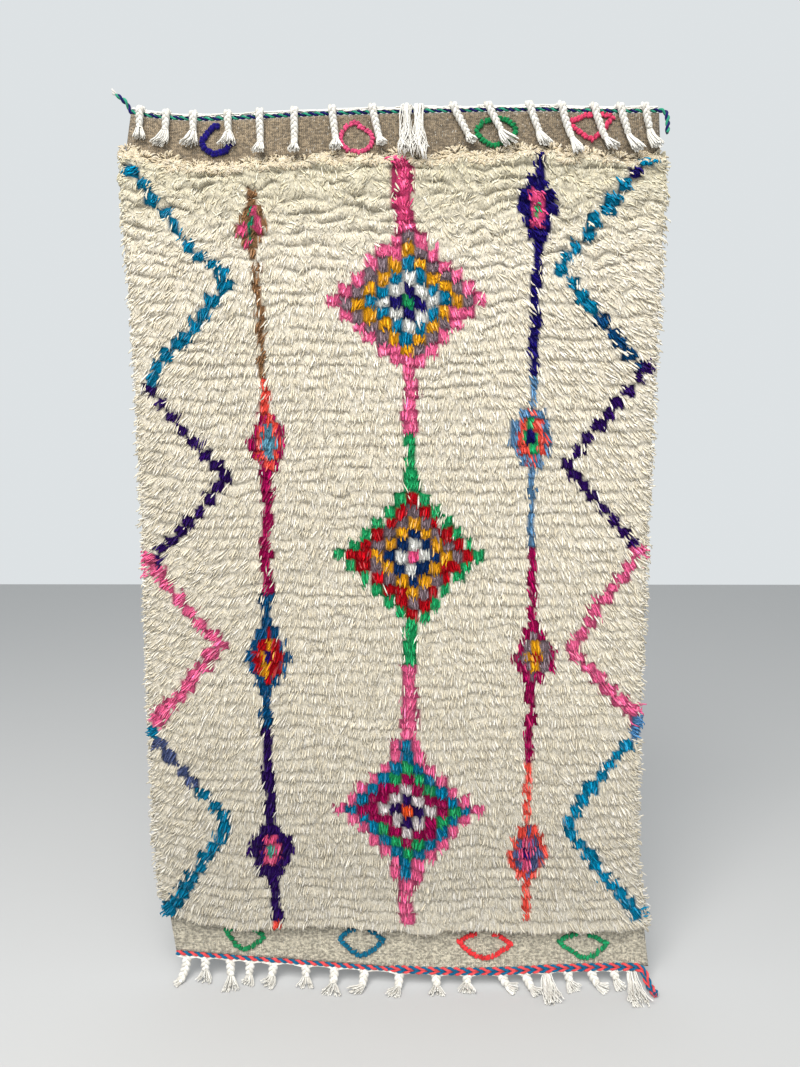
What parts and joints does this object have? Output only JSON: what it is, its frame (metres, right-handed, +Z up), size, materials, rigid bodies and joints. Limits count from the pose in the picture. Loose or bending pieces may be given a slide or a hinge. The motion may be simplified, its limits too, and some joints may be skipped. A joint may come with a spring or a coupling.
{
  "type": "azilal wool pile rug",
  "caption": "Knotted wool pile rug with lozenges, zigzags and thin lines, flat-woven ends, two-coloured edge cords and plaited warp tassels, hanging face out.",
  "frame": {"origin": "the middle of the woven top edge, in the plane of the flat back, where the rug is held", "axes": "+Z up the rug, +X to the right as the face is seen, and the face looks towards -Y, so the flat back is the plane Y = 0"},
  "size_m": [1.2305, 0.0993, 2.0527],
  "materials": {
    "wool_pile": "matt undyed wool pile with dyed knots",
    "cord_green_navy": "matt twined wool, green and navy",
    "cord_red_blue": "matt plaited wool, red and blue",
    "warp_white": "matt white warp yarn"
  },
  "bodies": {
    "root": {"rug_body": "wool_pile", "cord_top": "cord_green_navy", "cord_foot": "cord_red_blue", "fringe_top": "warp_white", "fringe_foot": "warp_white"}
  },
  "joints": []
}
